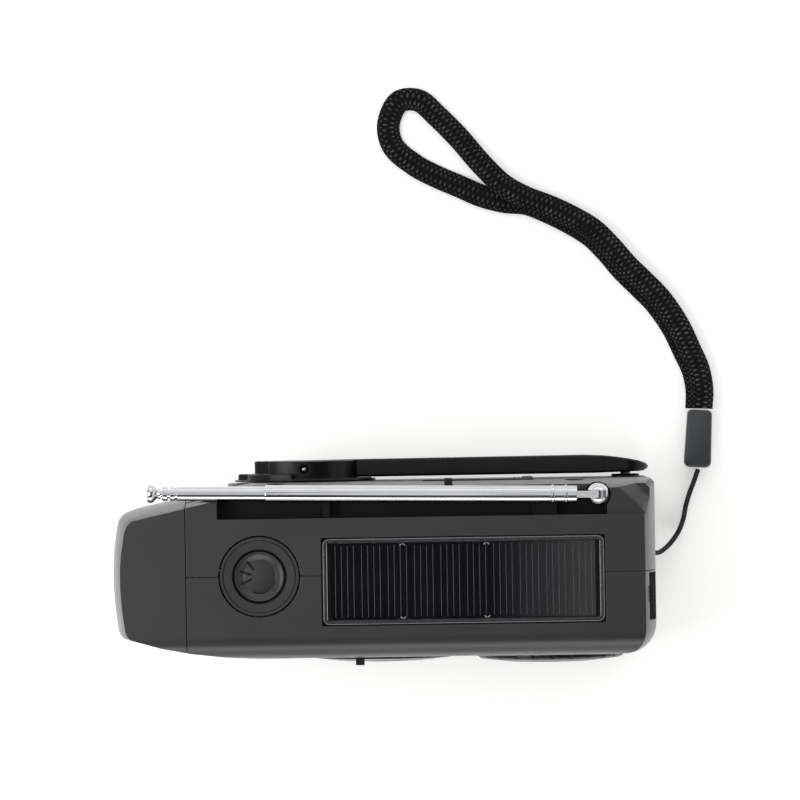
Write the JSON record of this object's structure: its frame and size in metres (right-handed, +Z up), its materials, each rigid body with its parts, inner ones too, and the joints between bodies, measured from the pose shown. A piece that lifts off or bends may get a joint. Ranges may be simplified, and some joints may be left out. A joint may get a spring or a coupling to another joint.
{
  "type": "emergency radio",
  "caption": "Hand-crank and solar emergency radio with a flashlight head, telescopic mast, fold-out crank and wrist strap.",
  "frame": {"origin": "under the middle of the radio, on the surface its feet stand on", "axes": "+X along the length from the flashlight head to the strap end, -Y the front with the dial and the loudspeaker, +Z up through the solar panel"},
  "size_m": [0.1462, 0.1403, 0.0621],
  "materials": {
    "shell_plastic": "fine moulded texture, dark grey",
    "dark_plastic": "semi-gloss black",
    "chrome": "polished",
    "steel": "plain zinc-plated",
    "generator_rotor_steel": "machined",
    "clear_plastic": "clear moulded plastic",
    "solar_black": "glossy solar cell",
    "rubber": "matte",
    "circuit_board": "green solder mask",
    "copper": "wound copper and steel can",
    "gear_plastic": "natural acetal",
    "nylon": "braided black nylon",
    "dial_paper": "printed scale card",
    "pointer_orange": "bright orange",
    "battery_wrap": "blue shrink wrap"
  },
  "bodies": {
    "casing": {"front_shell": "shell_plastic", "back_shell": "shell_plastic", "flashlight_head": "shell_plastic", "button_ring": "shell_plastic", "solar_tray": "dark_plastic", "speaker_grille": "dark_plastic", "reflector": "chrome", "case_screw_1": "steel", "case_screw_2": "steel", "case_screw_3": "steel", "case_screw_4": "steel", "speaker": "steel", "volume_pot": "steel", "usb_a_socket": "steel", "charge_socket": "steel", "strap_post": "steel", "lens": "clear_plastic", "solar_cover": "clear_plastic", "tuning_capacitor": "clear_plastic", "dial_window": "clear_plastic", "solar_cell": "solar_black", "foot_1": "rubber", "foot_2": "rubber", "foot_3": "rubber", "strap_sleeve": "rubber", "led_board": "circuit_board", "main_board": "circuit_board", "generator": "copper", "strap_cord": "nylon", "strap_band": "nylon", "dial_scale": "dial_paper", "battery": "battery_wrap"},
    "crank_hub": {"crank_hub": "dark_plastic", "crank_spindle": "steel", "crank_gear": "gear_plastic", "crank_pin": "chrome"},
    "crank_arm": {"crank_arm": "dark_plastic", "knob_pin": "steel"},
    "crank_knob": {"crank_knob": "dark_plastic"},
    "idler": {"idler_gear": "gear_plastic"},
    "rotor": {"generator_rotor": "generator_rotor_steel"},
    "flashlight_button": {"flashlight_button": "shell_plastic"},
    "volume_knob": {"volume_knob": "dark_plastic"},
    "tuning_dial": {"tuning_dial": "dark_plastic"},
    "dial_pointer": {"dial_pointer": "pointer_orange"},
    "band_switch": {"band_switch": "dark_plastic"},
    "slide_switch": {"slide_switch": "dark_plastic"},
    "port_cover": {"port_cover": "rubber"},
    "battery_door": {"battery_door": "shell_plastic", "foot_4": "rubber"},
    "antenna_ball": {"antenna_ball": "chrome", "antenna_pin": "steel"},
    "mast_1": {"mast_section_1": "chrome"},
    "mast_2": {"mast_section_2": "chrome"},
    "mast_3": {"mast_section_3": "chrome"},
    "mast_4": {"mast_section_4": "chrome"},
    "mast_5": {"mast_section_5": "chrome"}
  },
  "joints": [
    {"name": "crank_spin", "type": "hinge", "parent": "casing", "child": "crank_hub", "pos_m": [-0.0186, 0.0224, 0.022], "axis": [0, -1, 0], "continuous": true},
    {"name": "crank_fold", "type": "hinge", "parent": "crank_hub", "child": "crank_arm", "pos_m": [-0.0186, 0.0224, 0.022], "axis": [0, 0, 1], "range_deg": [0, 180]},
    {"name": "knob_spin", "type": "hinge", "parent": "crank_arm", "child": "crank_knob", "pos_m": [0.0591, 0.0131, 0.022], "axis": [0, -1, 0], "continuous": true},
    {"name": "idler_spin", "type": "hinge", "parent": "casing", "child": "idler", "pos_m": [-0.00642, 0.0096, 0.03553], "axis": [0, -1, 0], "continuous": true},
    {"name": "rotor_spin", "type": "hinge", "parent": "casing", "child": "rotor", "pos_m": [0.01038, 0.005, 0.03553], "axis": [0, -1, 0], "continuous": true},
    {"name": "flashlight_button_press", "type": "slide", "parent": "casing", "child": "flashlight_button", "axis": [0, 0, -1], "range_m": [0, 0.0012], "stiffness_N_per_m": 400},
    {"name": "volume_knob_turn", "type": "hinge", "parent": "casing", "child": "volume_knob", "pos_m": [-0.033, -0.0194, 0.028], "axis": [0, 1, 0], "range_deg": [-135, 135]},
    {"name": "tuning_dial_turn", "type": "hinge", "parent": "casing", "child": "tuning_dial", "pos_m": [0.0402, -0.0194, 0.027], "axis": [0, 1, 0], "range_deg": [-150, 150]},
    {"name": "dial_pointer_slide", "type": "slide", "parent": "casing", "child": "dial_pointer", "axis": [1, 0, 0], "range_m": [-0.012, 0.012]},
    {"name": "band_switch_slide", "type": "slide", "parent": "casing", "child": "band_switch", "axis": [1, 0, 0], "range_m": [-0.002, 0.002]},
    {"name": "slide_switch_slide", "type": "slide", "parent": "casing", "child": "slide_switch", "axis": [0, 1, 0], "range_m": [-0.002, 0.002]},
    {"name": "port_cover_swing", "type": "hinge", "parent": "casing", "child": "port_cover", "pos_m": [0.01, 0.0197, 0.042], "axis": [0, 0, 1], "range_deg": [0, 100]},
    {"name": "battery_door_slide", "type": "slide", "parent": "casing", "child": "battery_door", "axis": [0, 1, 0], "range_m": [0, 0.012]},
    {"name": "antenna_swivel", "type": "hinge", "parent": "casing", "child": "antenna_ball", "pos_m": [0.0512, 0.0158, 0.0596], "axis": [0, 0, 1], "range_deg": [-88, 0]},
    {"name": "antenna_tilt", "type": "hinge", "parent": "antenna_ball", "child": "mast_1", "pos_m": [0.0512, 0.0158, 0.0596], "axis": [0.0162, 0.9999, 0], "range_deg": [0, 90]},
    {"name": "mast_section_2_pull", "type": "slide", "parent": "mast_1", "child": "mast_2", "axis": [-0.9999, 0.0162, 0], "range_m": [0, 0.055]},
    {"name": "mast_section_3_pull", "type": "slide", "parent": "mast_2", "child": "mast_3", "axis": [-0.9999, 0.0162, 0], "range_m": [0, 0.07]},
    {"name": "mast_section_4_pull", "type": "slide", "parent": "mast_3", "child": "mast_4", "axis": [-0.9999, 0.0162, 0], "range_m": [0, 0.07]},
    {"name": "mast_section_5_pull", "type": "slide", "parent": "mast_4", "child": "mast_5", "axis": [-0.9999, 0.0162, 0], "range_m": [0, 0.07]}
  ],
  "couplings": [
    {"joint": "idler_spin", "follows": "crank_spin", "ratio": -3.3333},
    {"joint": "rotor_spin", "follows": "crank_spin", "ratio": 10},
    {"joint": "dial_pointer_slide", "follows": "tuning_dial_turn", "m_per_rad": 0.004584}
  ]
}
